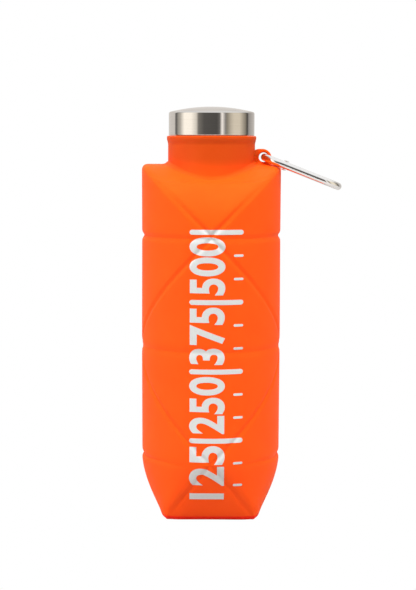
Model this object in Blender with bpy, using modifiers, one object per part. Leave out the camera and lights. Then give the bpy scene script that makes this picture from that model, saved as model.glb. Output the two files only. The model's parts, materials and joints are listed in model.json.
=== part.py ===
"""Folding water bottle: a creased silicone body, a screw cap with a steel shell, and a spring carabiner.

Metres, +Z up. The origin is the middle of the flat foot, and -Y is the front.
The body folds down in four sections. Each crease level has two corners, and the
corners turn by 90 degrees from one level to the next, so diagonal creases join
them and make the diamonds of the pattern.
"""

import math

import bmesh
import bpy
import numpy as np
from mathutils import Matrix, Vector

MM = 0.001
GAP = 0.3 * MM

# Silicone body
HALF_WIDTH = 37.95 * MM
HALF_DEPTH = 38.6 * MM
WALL = 2.3 * MM
FOOT_TOP = 3.5 * MM
CREASE_3 = 33.0 * MM
FULL_SECTION = 60.2 * MM
CREASE_2 = CREASE_3 + FULL_SECTION
CREASE_1 = CREASE_2 + FULL_SECTION
LEDGE = CREASE_1 + 38.3 * MM
SHOULDER_SEAM = CREASE_1 + 29.6 * MM
FOOT_HALF_WIDTH = 26.0 * MM
FOOT_HALF_DEPTH = 25.2 * MM
DENT_FRONT = 1.0 * MM
DENT_SIDE = 0.2 * MM
SHOULDER_SOFT = 2.4 * MM
SHOULDER_STEPS = 11
COLUMNS = 8

# Neck
NECK_RADIUS = 23.65 * MM
LIP_RADIUS = 24.3 * MM
LIP_BOTTOM = 203.9 * MM
LIP_TOP = 207.2 * MM
SLEEVE_BORE = 21.5 * MM
RING_BORE = 18.2 * MM
RING_BOTTOM = 187.6 * MM
RING_TOP = 216.0 * MM
BEAD_HEIGHT = 197.5 * MM
BEAD_DEPTH = 0.7 * MM

# Thread
PITCH = 5.0 * MM
THREAD_RADIUS = 0.9 * MM
RING_ROOT = 19.4 * MM
RING_THREAD_START = 209.2 * MM
RING_THREAD_TURNS = 1.1
LINER_ROOT = 21.3 * MM
LINER_THREAD_TURNS = 1.0
THREAD_BURIED = 0.7 * MM

# Cap
CAP_RADIUS = 23.3 * MM
CAP_BOTTOM = 207.7 * MM
CAP_SIDE_TOP = 219.6 * MM
CAP_TOP = 223.0 * MM
CAP_EDGE = 2.8 * MM
SHELL_WALL = 0.8 * MM
LINER_RADIUS = CAP_RADIUS - SHELL_WALL - GAP
LINER_UNDERSIDE = 217.9 * MM
LINER_TOP = 219.0 * MM
SEAL_INNER = 17.6 * MM

# Lug
LUG_END = 32.7 * MM
LUG_TOP = 200.3 * MM
LUG_THICKNESS = 3.6 * MM
LUG_CORNER = 5.0 * MM
LUG_HOLE = Vector((28.3 * MM, 0, 195.8 * MM))
LUG_HOLE_RADIUS = 3.0 * MM

# Carabiner, in its own plane: X runs along it from the hanging end, Y across it, Z is normal to it
CARABINER_PIVOT = Vector((28.75 * MM, 0, 195.8 * MM))
CARABINER_TILT = math.radians(21.3)
WIRE_RADIUS = 2.0 * MM
BEND = 9.6 * MM
STRAIGHT = 24.0 * MM
HINGE_X = 12.7 * MM
TONGUE_THICKNESS = 1.4 * MM
TONGUE_HALF_WIDTH = 1.7 * MM
TONGUE_REACH = 1.8 * MM
SLOT_THICKNESS = TONGUE_THICKNESS + 2 * GAP
LATCH_X = 33.0 * MM
LATCH_PIN_RADIUS = 0.55 * MM
GATE_END = 34.5 * MM
RIVET_RADIUS = 0.65 * MM
RIVET_HEAD_RADIUS = 1.5 * MM
RIVET_HEAD_HEIGHT = 0.6 * MM
BORE_RADIUS = 1.2 * MM
BORE_END = 26.0 * MM
PLUNGER_RADIUS = 0.85 * MM
PLUNGER_TIP = HINGE_X + TONGUE_REACH + 0.4 * MM
PLUNGER_LENGTH = 2.6 * MM
SPRING_RADIUS = 0.75 * MM
SPRING_WIRE = 0.2 * MM
SPRING_TURNS = 6


def clear_scene():
    for obj in list(bpy.data.objects):
        bpy.data.objects.remove(obj)
    for collection in list(bpy.data.collections):
        bpy.data.collections.remove(collection)


def new_collection(name):
    collection = bpy.data.collections.new(name)
    bpy.context.scene.collection.children.link(collection)
    return collection


def new_material(name, colour, roughness, metallic=0.0):
    material = bpy.data.materials.new(name)
    material.use_nodes = True
    shader = material.node_tree.nodes["Principled BSDF"]
    shader.inputs["Base Color"].default_value = (*colour, 1)
    shader.inputs["Roughness"].default_value = roughness
    shader.inputs["Metallic"].default_value = metallic
    return material


clear_scene()
PARTS = new_collection("folding_water_bottle")
CUTTERS = new_collection("cutters")
SILICONE = new_material("silicone", (0.90, 0.11, 0.015), 0.55)
NECK_PLASTIC = new_material("neck_plastic", (0.75, 0.75, 0.72), 0.4)
CAP_STEEL = new_material("cap_steel", (0.62, 0.60, 0.57), 0.25, 1.0)
CAP_PLASTIC = new_material("cap_plastic", (0.03, 0.03, 0.03), 0.45)
SEAL_SILICONE = new_material("seal_silicone", (0.70, 0.70, 0.68), 0.6)
NICKEL = new_material("nickel", (0.66, 0.65, 0.63), 0.15, 1.0)
SPRING_STEEL = new_material("spring_steel", (0.45, 0.45, 0.45), 0.3, 1.0)


def add_object(name, data, material, parent=None, cutter=False):
    obj = bpy.data.objects.new(name, data)
    (CUTTERS if cutter else PARTS).objects.link(obj)
    obj.parent = parent
    if material:
        data.materials.append(material)
    if cutter:
        obj.hide_render = True
        obj.display_type = "WIRE"
    return obj


def object_of(name, bm, material, parent=None, cutter=False):
    """An object from a bmesh, with its faces turned outward."""
    bmesh.ops.remove_doubles(bm, verts=bm.verts, dist=1e-6)
    bmesh.ops.recalc_face_normals(bm, faces=bm.faces)
    mesh = bpy.data.meshes.new(name)
    bm.to_mesh(mesh)
    bm.free()
    mesh.shade_smooth()
    mesh.set_sharp_from_angle(angle=math.radians(30))
    return add_object(name, mesh, material, parent, cutter)


def loft(name, rings, material, loop):
    """A solid through rings of equal point count. A loop joins the last ring to the first; otherwise the ends are filled."""
    bm = bmesh.new()
    rows = [[bm.verts.new(point) for point in ring] for ring in rings]
    following = rows[1:] + rows[:1] if loop else rows[1:]
    for lower, upper in zip(rows, following):
        for i in range(len(lower)):
            j = (i + 1) % len(lower)
            bm.faces.new((lower[i], lower[j], upper[j], upper[i]))
    if not loop:
        bm.faces.new(rows[0])
        bm.faces.new(rows[-1])
    return object_of(name, bm, material)


def turned(name, profile, material, steps=32, parent=None, cutter=False):
    """A profile of (radius, height) points, closed and turned about Z."""
    bm = bmesh.new()
    points = [bm.verts.new((radius, 0, height)) for radius, height in profile]
    for a, b in zip(points, points[1:] + points[:1]):
        if a.co.x > 0 or b.co.x > 0:
            bm.edges.new((a, b))
    mesh = bpy.data.meshes.new(name)
    bm.to_mesh(mesh)
    bm.free()
    obj = add_object(name, mesh, material, parent, cutter)
    screw = obj.modifiers.new("Turn", "SCREW")
    screw.steps = steps
    screw.render_steps = steps
    screw.use_merge_vertices = True
    screw.merge_threshold = 0.00001
    return obj


def arc(centre, radius, start, end, count):
    """Points (a, b) along an arc, from one angle to another in degrees."""
    angles = [math.radians(start + (end - start) * i / (count - 1)) for i in range(count)]
    return [(centre[0] + radius * math.cos(a), centre[1] + radius * math.sin(a)) for a in angles]


def cylinder(name, radius, start, end, material=None, parent=None, cutter=False, segments=16):
    """A cylinder between two points."""
    start = Vector(start)
    end = Vector(end)
    turn = (end - start).to_track_quat("Z", "Y").to_matrix().to_4x4()
    bm = bmesh.new()
    bmesh.ops.create_cone(
        bm,
        cap_ends=True,
        segments=segments,
        radius1=radius,
        radius2=radius,
        depth=(end - start).length,
        matrix=Matrix.Translation((start + end) / 2) @ turn,
    )
    return object_of(name, bm, material, parent, cutter)


def box(name, low, high, parent=None):
    """A box-shaped cutter between two corners."""
    low = Vector(low)
    high = Vector(high)
    bm = bmesh.new()
    scale = Matrix.Diagonal((*(high - low), 1))
    bmesh.ops.create_cube(bm, size=1, matrix=Matrix.Translation((low + high) / 2) @ scale)
    return object_of(name, bm, None, parent, cutter=True)


def tube(name, points, radius, material, parent=None, cutter=False, resolution=2):
    """A round wire along points, made a mesh with closed ends."""
    curve = bpy.data.curves.new(name + "_path", "CURVE")
    curve.dimensions = "3D"
    curve.bevel_depth = radius
    curve.bevel_resolution = resolution
    curve.use_fill_caps = True
    spline = curve.splines.new("POLY")
    spline.points.add(len(points) - 1)
    for point, place in zip(spline.points, points):
        point.co = (*place, 1)
    return mesh_from_curve(name, curve, material, parent, cutter)


def plate(name, outline, thickness, material, parent=None, cutter=False):
    """A flat plate in the XY plane, centred on it."""
    curve = bpy.data.curves.new(name + "_outline", "CURVE")
    curve.dimensions = "2D"
    curve.fill_mode = "BOTH"
    curve.extrude = thickness / 2
    spline = curve.splines.new("POLY")
    spline.points.add(len(outline) - 1)
    spline.use_cyclic_u = True
    for point, (x, y) in zip(spline.points, outline):
        point.co = (x, y, 0, 1)
    return mesh_from_curve(name, curve, material, parent, cutter)


def mesh_from_curve(name, curve, material, parent, cutter):
    guide = bpy.data.objects.new(name + "_guide", curve)
    bpy.context.scene.collection.objects.link(guide)
    bpy.context.view_layer.update()
    evaluated = guide.evaluated_get(bpy.context.evaluated_depsgraph_get())
    bm = bmesh.new()
    bm.from_mesh(bpy.data.meshes.new_from_object(evaluated))
    bpy.data.objects.remove(guide)
    return object_of(name, bm, material, parent, cutter)


def boolean(obj, operation, other):
    modifier = obj.modifiers.new(operation.title() + " " + other.name, "BOOLEAN")
    modifier.operation = operation
    modifier.object = other


def lerp(a, b, t):
    return a + (b - a) * t


def crease_angle(z):
    """The angle round the body, from the front, at which the diagonal crease crosses height z."""
    if z >= CREASE_1:
        return math.asin(min(1, (z - CREASE_1) / (LEDGE - CREASE_1)))
    if z >= CREASE_2:
        return math.pi / 2 * (CREASE_1 - z) / FULL_SECTION
    return math.pi / 2 * (z - CREASE_3) / FULL_SECTION


def upper_point(z, angle):
    """(x, y) of the outside above the lowest crease level, where the body is round but for its dished facets."""
    x = HALF_WIDTH * math.sin(angle)
    y = -HALF_DEPTH * math.cos(angle)
    crease = crease_angle(z)
    crease_x = HALF_WIDTH * math.sin(crease)
    crease_y = HALF_DEPTH * math.cos(crease)
    if abs(x) < crease_x and z > CREASE_1:
        # The facet of the top section is straight across, so it leans back as it rises.
        y = math.copysign(crease_y, y)
    elif abs(x) < crease_x:
        dent = DENT_FRONT * crease / (math.pi / 2)
        y -= math.copysign(dent * (1 - (x / crease_x) ** 2), y)
    elif abs(y) < crease_y:
        dent = DENT_SIDE * (1 - crease / (math.pi / 2))
        x -= math.copysign(dent * (1 - (y / crease_y) ** 2), x)
    return x, y


def facet_angles(crease):
    """Angles round the body, from the front, with a column on each of the four diagonal creases."""
    corners = [-crease, crease, math.pi - crease, math.pi + crease, 2 * math.pi - crease]
    return [
        lerp(a, b, i / COLUMNS) for a, b in zip(corners, corners[1:]) for i in range(COLUMNS)
    ]


def foot_ring(z, inset=0.0):
    """The outline of the lowest section, which goes from round at the crease to nearly square at the foot."""
    up = z / CREASE_3
    bulge = 1 - (1 - up) ** 1.8
    side = lerp(FOOT_HALF_WIDTH, HALF_WIDTH, bulge)
    corner_x = FOOT_HALF_WIDTH * (1 - up)
    corner_y = lerp(FOOT_HALF_DEPTH, HALF_DEPTH, up ** 0.9)
    outline = []
    for i in range(COLUMNS):
        outline.append((lerp(-corner_x, corner_x, i / COLUMNS), -corner_y))
    for i in range(COLUMNS):
        turn = lerp(-math.pi / 2, math.pi / 2, i / COLUMNS)
        outline.append((corner_x + (side - corner_x) * math.cos(turn), corner_y * math.sin(turn)))
    outline += [(-x, -y) for x, y in outline]
    return [inset_point(x, y, z, inset) for x, y in outline]


def inset_point(x, y, z, inset):
    scale = 1 - inset / math.hypot(x, y)
    return x * scale, y * scale, z


def upper_ring(z, place, inset=0.0):
    """A ring placed at one height with the outline of another, so that a section can stop short of its crease."""
    return [
        inset_point(*upper_point(z, angle), place, inset) for angle in facet_angles(crease_angle(z))
    ]


def wall_section(name, ring_at, bottom, top, rows):
    """A tube of wall between two crease levels, half a gap short of each."""
    heights = [lerp(bottom, top, i / rows) for i in range(rows + 1)]
    places = [lerp(bottom + GAP / 2, top - GAP / 2, i / rows) for i in range(rows + 1)]
    outer = [ring_at(z, place, 0.0) for z, place in zip(heights, places)]
    inner = [ring_at(z, place, WALL) for z, place in zip(heights, places)]
    return loft(name, outer + inner[::-1], SILICONE, loop=True)


def foot_ring_at(z, place, inset):
    return [(x, y, place) for x, y, _ in foot_ring(z, inset)]


def make_body():
    foot_edge = 2.0 * MM
    rings = [
        [(x, y, 0) for x, y, _ in foot_ring(0, foot_edge)],
        foot_ring(foot_edge),
        foot_ring_at(FOOT_TOP, FOOT_TOP - GAP / 2, 0.0),
    ]
    loft("base_foot", rings, SILICONE, loop=False)
    wall_section("wall_section_4", foot_ring_at, FOOT_TOP, CREASE_3, 4)
    wall_section("wall_section_3", upper_ring, CREASE_3, CREASE_2, 5)
    wall_section("wall_section_2", upper_ring, CREASE_2, CREASE_1, 5)
    wall_section("wall_section_1", upper_ring, CREASE_1, SHOULDER_SEAM, 4)


def shoulder_radius(azimuth, z):
    """Radius of the outside above the shoulder's seam: the round wall, or the leaning facet where that is nearer."""
    crease_y = HALF_DEPTH * math.sqrt(max(0, 1 - ((z - CREASE_1) / (LEDGE - CREASE_1)) ** 2))
    wall = 1 / math.hypot(math.sin(azimuth) / HALF_WIDTH, math.cos(azimuth) / HALF_DEPTH)
    return min(wall, crease_y / max(abs(math.cos(azimuth)), 1e-6))


def shoulder_curve(azimuth):
    """The outside from the seam to the neck as (radius, height) points, its corners softened, and its top."""
    low = SHOULDER_SEAM + GAP / 2
    share = abs(math.cos(azimuth)) * NECK_RADIUS / HALF_DEPTH
    top = CREASE_1 + (LEDGE - CREASE_1) * math.sqrt(1 - share ** 2)
    heights = np.concatenate([np.linspace(low, top - 0.3 * MM, 400), np.linspace(top - 0.3 * MM, top, 400)[1:]])
    points = [(max(shoulder_radius(azimuth, z), NECK_RADIUS), z) for z in heights]
    points += [(NECK_RADIUS, top), (NECK_RADIUS, top + 1.5 * MM)]
    points = np.array(points)
    length = np.concatenate([[0], np.cumsum(np.hypot(*np.diff(points, axis=0).T))])
    curve = []
    for i in range(SHOULDER_STEPS + 1):
        place = length[-1] * i / SHOULDER_STEPS
        reach = min(SHOULDER_SOFT, place, length[-1] - place)
        near = np.linspace(place - reach, place + reach, 41)
        curve.append(tuple(float(np.interp(near, length, points[:, k]).mean()) for k in (0, 1)))
    return curve, top


def shoulder_profile(azimuth):
    """The shoulder and neck as (radius, height) points at one azimuth, up the outside and down the inside."""
    low = SHOULDER_SEAM + GAP / 2
    points, top = shoulder_curve(azimuth)
    points += [
        (NECK_RADIUS, LIP_BOTTOM),
        (LIP_RADIUS, LIP_BOTTOM + 0.8 * MM),
        (LIP_RADIUS, LIP_TOP - 0.6 * MM),
        (LIP_RADIUS - 0.6 * MM, LIP_TOP),
        (SLEEVE_BORE, LIP_TOP),
        (SLEEVE_BORE, BEAD_HEIGHT + 2.3 * MM),
        (SLEEVE_BORE + BEAD_DEPTH, BEAD_HEIGHT + 1.3 * MM),
        (SLEEVE_BORE + BEAD_DEPTH, BEAD_HEIGHT - 1.3 * MM),
        (SLEEVE_BORE, BEAD_HEIGHT - 2.3 * MM),
    ]
    inside_top = lerp(SHOULDER_SEAM, top, 0.7)
    inside_edge = shoulder_radius(azimuth, inside_top) - WALL
    points += [
        (SLEEVE_BORE, inside_top),
        (max(SLEEVE_BORE + 0.2 * MM, inside_edge - 0.5 * MM), inside_top - 0.15 * MM),
        (shoulder_radius(azimuth, low) - WALL, low),
    ]
    return points


def make_neck():
    azimuths = []
    for angle in facet_angles(crease_angle(SHOULDER_SEAM)):
        x, y = upper_point(SHOULDER_SEAM, angle)
        azimuths.append(math.atan2(x, -y))
    profiles = [shoulder_profile(azimuth) for azimuth in azimuths]
    rings = [
        [
            (radius * math.sin(azimuth), -radius * math.cos(azimuth), z)
            for azimuth, (radius, z) in zip(azimuths, row)
        ]
        for row in zip(*profiles)
    ]
    sleeve = loft("neck_sleeve", rings, SILICONE, loop=True)
    inside = NECK_RADIUS - 1.0 * MM
    base = LEDGE - 1.2 * MM
    corner = (LUG_END - LUG_CORNER, LUG_TOP - LUG_CORNER)
    outline = [(inside, base), (LUG_END, base)] + arc(corner, LUG_CORNER, 0, 90, 6)
    outline.append((inside, LUG_TOP))
    lug = plate("lug", outline, LUG_THICKNESS, SILICONE, cutter=True)
    lug.rotation_euler = (math.pi / 2, 0, 0)
    boolean(sleeve, "UNION", lug)
    across = Vector((0, LUG_THICKNESS, 0))
    hole = cylinder("lug_hole", LUG_HOLE_RADIUS, LUG_HOLE - across, LUG_HOLE + across, cutter=True)
    boolean(sleeve, "DIFFERENCE", hole)


def helix(radius, start, turns, steps_per_turn=20):
    """Points of a right-hand helix that begins at the given height and at a whole number of turns."""
    count = round(turns * steps_per_turn)
    points = []
    for i in range(count + 1):
        turn = 2 * math.pi * i / steps_per_turn
        height = start + PITCH * i / steps_per_turn
        points.append((radius * math.cos(turn), radius * math.sin(turn), height))
    return points


def make_neck_ring():
    outer = SLEEVE_BORE - GAP
    profile = [
        (RING_BORE, RING_TOP),
        (RING_ROOT, RING_TOP),
        (RING_ROOT, LIP_TOP - GAP),
        (outer, LIP_TOP - GAP),
        (outer, BEAD_HEIGHT + 2.0 * MM),
        (outer + BEAD_DEPTH, BEAD_HEIGHT + 1.0 * MM),
        (outer + BEAD_DEPTH, BEAD_HEIGHT - 1.0 * MM),
        (outer, BEAD_HEIGHT - 2.0 * MM),
        (outer, RING_BOTTOM + 0.8 * MM),
        (outer - 0.8 * MM, RING_BOTTOM),
        (RING_BORE, RING_BOTTOM),
    ]
    ring = turned("neck_ring", profile, NECK_PLASTIC)
    middle = RING_ROOT + THREAD_RADIUS - THREAD_BURIED
    path = helix(middle, RING_THREAD_START, RING_THREAD_TURNS)
    boolean(ring, "UNION", tube("neck_thread", path, THREAD_RADIUS, NECK_PLASTIC, cutter=True, resolution=1))


def make_cap():
    edge = (CAP_RADIUS - CAP_EDGE, CAP_SIDE_TOP)
    outside = [(0, CAP_TOP), (CAP_RADIUS * 0.6, CAP_TOP - 0.15 * MM)]
    outside += arc(edge, CAP_EDGE, 75, 0, 5) + [(CAP_RADIUS, CAP_BOTTOM)]
    inner_edge = CAP_EDGE - SHELL_WALL
    inside = [(CAP_RADIUS - SHELL_WALL, CAP_BOTTOM)] + arc(edge, inner_edge, 0, 75, 5)
    inside += [(CAP_RADIUS * 0.6, CAP_TOP - SHELL_WALL - 0.15 * MM), (0, CAP_TOP - SHELL_WALL)]
    turned("cap_shell", outside + inside, CAP_STEEL, steps=40)

    liner_bottom = CAP_BOTTOM + GAP
    chamfer = 1.2 * MM
    profile = [
        (0, LINER_TOP),
        (LINER_RADIUS - chamfer, LINER_TOP),
        (LINER_RADIUS, LINER_TOP - chamfer),
        (LINER_RADIUS, liner_bottom),
        (LINER_ROOT, liner_bottom),
        (LINER_ROOT, LINER_UNDERSIDE),
        (0, LINER_UNDERSIDE),
    ]
    liner = turned("cap_liner", profile, CAP_PLASTIC)
    middle = LINER_ROOT - THREAD_RADIUS + THREAD_BURIED
    # Half a pitch from the ring's thread, in turns that start half a turn further round.
    path = helix(middle, RING_THREAD_START, LINER_THREAD_TURNS)
    path = [(-x, -y, z) for x, y, z in path]
    boolean(liner, "UNION", tube("liner_thread", path, THREAD_RADIUS, CAP_PLASTIC, cutter=True, resolution=1))

    seal_outer = LINER_ROOT - GAP
    top = LINER_UNDERSIDE - GAP
    bottom = RING_TOP + GAP
    profile = [(SEAL_INNER, top), (seal_outer, top), (seal_outer, bottom), (SEAL_INNER, bottom)]
    turned("cap_seal", profile, SEAL_SILICONE)


def wire_path():
    """The frame's wire, from the gate's hinge round the hanging end, along the spine and round to the gate's nose."""
    far = BEND + STRAIGHT
    hinge_side = [(HINGE_X - 3.2 * MM, BEND)]
    nose = GATE_END + 0.7 * MM
    nose_angle = math.degrees(math.acos((nose - far) / BEND))
    points = hinge_side + arc((BEND, 0), BEND, 90, 270, 13)[1:]
    points += arc((far, 0), BEND, -90, nose_angle, 13)
    return [(x, y, 0) for x, y in points]


def make_carabiner():
    plane = bpy.data.objects.new("carabiner_plane", None)
    PARTS.objects.link(plane)
    plane.location = CARABINER_PIVOT
    plane.rotation_euler = (0, CARABINER_TILT, 0)

    frame = tube("carabiner_frame", wire_path(), WIRE_RADIUS, NICKEL, plane, resolution=3)
    end = HINGE_X + TONGUE_REACH
    half = TONGUE_HALF_WIDTH
    chamfer = 0.5 * MM
    back = HINGE_X - 5.0 * MM
    outline = [
        (back, BEND - half + 0.3 * MM),
        (end - chamfer, BEND - half),
        (end, BEND - half + chamfer),
        (end, BEND + half - chamfer),
        (end - chamfer, BEND + half),
        (back, BEND + half - 0.6 * MM),
    ]
    boolean(frame, "UNION", plate("hinge_tongue", outline, TONGUE_THICKNESS, NICKEL, plane, cutter=True))

    # The nose is a flat hook whose notch takes the latch pin from the inner side.
    notch = LATCH_PIN_RADIUS + GAP
    hook_tip = LATCH_X - notch - 0.7 * MM
    inner = BEND - 1.1 * MM
    outer = BEND + 1.6 * MM
    root = GATE_END + 2.4 * MM
    outline = [
        (hook_tip, inner),
        (LATCH_X - notch, inner),
        (LATCH_X - notch, BEND + notch),
        (LATCH_X + notch, BEND + notch),
        (LATCH_X + notch, inner),
        (root, inner - 0.6 * MM),
        (root, outer - 1.2 * MM),
        (GATE_END, outer),
        (hook_tip, outer),
    ]
    boolean(frame, "UNION", plate("nose_hook", outline, TONGUE_THICKNESS, NICKEL, plane, cutter=True))

    tall = 4 * MM
    hinge = Vector((HINGE_X, BEND, 0))
    up = Vector((0, 0, tall))
    rivet_hole = cylinder(
        "rivet_hole", RIVET_RADIUS + GAP, hinge - up, hinge + up, parent=plane, cutter=True, segments=12
    )
    boolean(frame, "DIFFERENCE", rivet_hole)
    make_gate(plane, hinge, up, rivet_hole)


def make_gate(plane, hinge, up, rivet_hole):
    gate = cylinder("carabiner_gate", WIRE_RADIUS, hinge, (GATE_END, BEND, 0), NICKEL, plane)
    bm = bmesh.new()
    turn = Matrix.Translation(hinge) @ Matrix.Rotation(math.pi / 2, 4, "Y")
    bmesh.ops.create_uvsphere(bm, u_segments=16, v_segments=8, radius=WIRE_RADIUS, matrix=turn)
    boolean(gate, "UNION", object_of("gate_end", bm, NICKEL, plane, cutter=True))
    half = SLOT_THICKNESS / 2
    wide = 3 * MM
    slot_end = HINGE_X + TONGUE_REACH + 0.8 * MM
    slots = [
        ("hinge_slot", HINGE_X - wide, slot_end),
        ("nose_slot", LATCH_X - 2.0 * MM, GATE_END + 1.0 * MM),
    ]
    for name, start, end in slots:
        boolean(gate, "DIFFERENCE", box(name, (start, BEND - wide, -half), (end, BEND + wide, half), plane))
    bore_start = (HINGE_X, BEND, 0)
    bore = cylinder("spring_bore", BORE_RADIUS, bore_start, (BORE_END, BEND, 0), parent=plane, cutter=True)
    boolean(gate, "DIFFERENCE", bore)
    boolean(gate, "DIFFERENCE", rivet_hole)
    latch = Vector((LATCH_X, BEND, 0))
    pin_hole = cylinder(
        "pin_hole", LATCH_PIN_RADIUS + 0.2 * MM, latch - up, latch + up, parent=plane, cutter=True, segments=12
    )
    boolean(gate, "DIFFERENCE", pin_hole)

    pin_half = Vector((0, 0, WIRE_RADIUS - 0.1 * MM))
    cylinder("gate_latch_pin", LATCH_PIN_RADIUS, latch - pin_half, latch + pin_half, NICKEL, plane, segments=12)

    under = WIRE_RADIUS + GAP
    over = under + RIVET_HEAD_HEIGHT
    head = RIVET_HEAD_RADIUS
    dome = [(0, over), (head * 0.6, over - 0.1 * MM), (head, under + 0.15 * MM), (head, under)]
    profile = dome + [(RIVET_RADIUS, under)]
    profile += [(radius, -height) for radius, height in reversed(profile)]
    rivet = turned("gate_rivet", profile, NICKEL, steps=12, parent=plane)
    rivet.location = hinge

    tip = Vector((PLUNGER_TIP, BEND, 0))
    tail = tip + Vector((PLUNGER_LENGTH, 0, 0))
    cylinder("gate_plunger", PLUNGER_RADIUS, tip, tail, SPRING_STEEL, plane, segments=12)
    start = tail.x + SPRING_WIRE + GAP
    length = BORE_END - SPRING_WIRE - GAP - start
    steps = 8
    coil = []
    for i in range(SPRING_TURNS * steps + 1):
        turn = 2 * math.pi * i / steps
        along = start + length * i / (SPRING_TURNS * steps)
        coil.append((along, BEND + SPRING_RADIUS * math.cos(turn), SPRING_RADIUS * math.sin(turn)))
    tube("gate_spring", coil, SPRING_WIRE, SPRING_STEEL, plane, resolution=1)


make_body()
make_neck()
make_neck_ring()
make_cap()
make_carabiner()
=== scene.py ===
"""Looks of the folding water bottle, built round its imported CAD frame. Metres, +Z up, -Y is the front."""

import json
import math

import bmesh
import bpy
import numpy as np
from mathutils import Matrix, Vector


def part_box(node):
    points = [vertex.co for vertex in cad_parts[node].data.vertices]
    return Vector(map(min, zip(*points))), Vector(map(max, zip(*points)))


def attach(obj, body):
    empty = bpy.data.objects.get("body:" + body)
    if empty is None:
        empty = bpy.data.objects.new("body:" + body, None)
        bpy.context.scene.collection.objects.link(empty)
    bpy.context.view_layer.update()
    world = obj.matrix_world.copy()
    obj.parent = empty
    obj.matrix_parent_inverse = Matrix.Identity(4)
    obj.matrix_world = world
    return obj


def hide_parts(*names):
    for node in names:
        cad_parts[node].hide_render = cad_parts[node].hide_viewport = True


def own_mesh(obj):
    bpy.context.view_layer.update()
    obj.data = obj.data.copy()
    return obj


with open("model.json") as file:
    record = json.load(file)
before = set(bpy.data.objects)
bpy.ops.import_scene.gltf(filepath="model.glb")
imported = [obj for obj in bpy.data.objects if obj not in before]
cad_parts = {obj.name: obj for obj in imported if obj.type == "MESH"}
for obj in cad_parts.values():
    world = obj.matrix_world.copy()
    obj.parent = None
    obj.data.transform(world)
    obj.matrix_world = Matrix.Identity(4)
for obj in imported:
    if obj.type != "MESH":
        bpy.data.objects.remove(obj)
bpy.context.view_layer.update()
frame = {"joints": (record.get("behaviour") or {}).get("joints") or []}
scene = bpy.context.scene
MM = 0.001
QUARTER = math.pi / 2
SHARP_ANGLE = math.radians(42)

# ---- places, from the frame
JOINTS = {joint["name"]: joint for joint in frame["joints"]}


def level_between(lower, upper):
    """The height of the seam between two stacked nodes, which stand a small gap apart."""
    return (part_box(lower)[1].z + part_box(upper)[0].z) / 2


FOOT_TOP = level_between("base_foot", "wall_section_4")
CREASE_3 = level_between("wall_section_4", "wall_section_3")
CREASE_2 = level_between("wall_section_3", "wall_section_2")
CREASE_1 = level_between("wall_section_2", "wall_section_1")
SEAM = level_between("wall_section_1", "neck_sleeve")
HALF_WIDTH, HALF_DEPTH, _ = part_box("wall_section_2")[1]
SLEEVE_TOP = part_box("neck_sleeve")[1].z
CAP_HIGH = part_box("cap_shell")[1]
RING_LOW, RING_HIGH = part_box("neck_ring")
LINER_LOW, LINER_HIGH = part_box("cap_liner")
SEAL_LOW, SEAL_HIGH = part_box("cap_seal")
SWING_PIVOT = Vector(JOINTS["carabiner_swing"]["pos_m"])
GATE_PIVOT = Vector(JOINTS["gate_hinge"]["pos_m"])

# ---- sizes of the soft body
WALL = 2.3 * MM
SEAM_GAP = 0.01 * MM
COLUMNS = 400
ROW = 0.7 * MM

# The lowest section: square where it stands, round at its crease level.
FOOT_HALF_WIDTH = 26.0 * MM
FOOT_HALF_DEPTH = 25.2 * MM
FOOT_ROUND = 2.6 * MM
FOOT_HOLLOW = 0.6 * MM
FOOT_SIDE_POWER = 1.8
FOOT_FRONT_POWER = 0.9
FOOT_CORNER_CUT = 1.6 * MM
FOOT_CORNER_WIDTH = 5.0 * MM
FOOT_CREASE_LEAN = 0.86
FOOT_CREASE_START = 10 * MM

# The sections above: facets dished between diagonal creases, and a V on the top one.
LEDGE = SEAM + 9.0 * MM
V_FOOT = CREASE_1 + 1.4 * MM
V_DEPTH = 1.15 * MM
V_FADE_END = LEDGE - 1.5 * MM
V_FADE = 8 * MM
DENT_FRONT = 0.9 * MM
DENT_SIDE = 0.15 * MM
DIAGONAL_DEPTH = 0.7 * MM
DIAGONAL_WIDTH = 1.8 * MM
SLOPE_STEP = 0.2 * MM
GROOVE_SHARPNESS = 2.2
# Each level's groove: height, depth at the front, depth at the side, half-width.
LEVELS = [
    (CREASE_3, 0.20 * MM, 1.25 * MM, 2.0 * MM),
    (CREASE_2, 0.36 * MM, 0.60 * MM, 2.8 * MM),
    (CREASE_1, 0.45 * MM, 1.25 * MM, 2.2 * MM),
]
LEVEL_SIDE_POWER = 8

# The shoulder and the neck, with a soft corner between them, and the lip under the cap.
NECK_RADIUS = 23.65 * MM
NECK_RUN = 4.0 * MM
SHOULDER_SOFT = 2.0 * MM
CORNER_SOFT = 1.6 * MM
SHOULDER_POINTS = 64
CURVE_STEP = 0.05 * MM
LIP_RADIUS = 24.3 * MM
LIP_BOTTOM = SLEEVE_TOP - 3.0 * MM
LIP_RISE = 3.8 * MM
LIP_ROUND = 0.65 * MM
SLEEVE_BORE = 21.5 * MM
BORE_EDGE = 0.3 * MM


def groove(distance, half_width):
    """The share of a groove's depth at a distance from its middle, smooth and flat at the bottom."""
    return np.exp(-((distance / half_width) ** 2) * GROOVE_SHARPNESS)


def level_grooves(away, z):
    """Depth of the horizontal grooves at height z, at an angle from the nearer of front and back."""
    total = 0
    for level, front, side, width in LEVELS:
        depth = front + (side - front) * np.sin(away) ** LEVEL_SIDE_POWER
        total = total + depth * groove(np.abs(z - level), width)
    return total


def from_front(azimuth):
    """The angle from the nearer of front and back."""
    return np.abs((azimuth + QUARTER) % math.pi - QUARTER)


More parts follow.
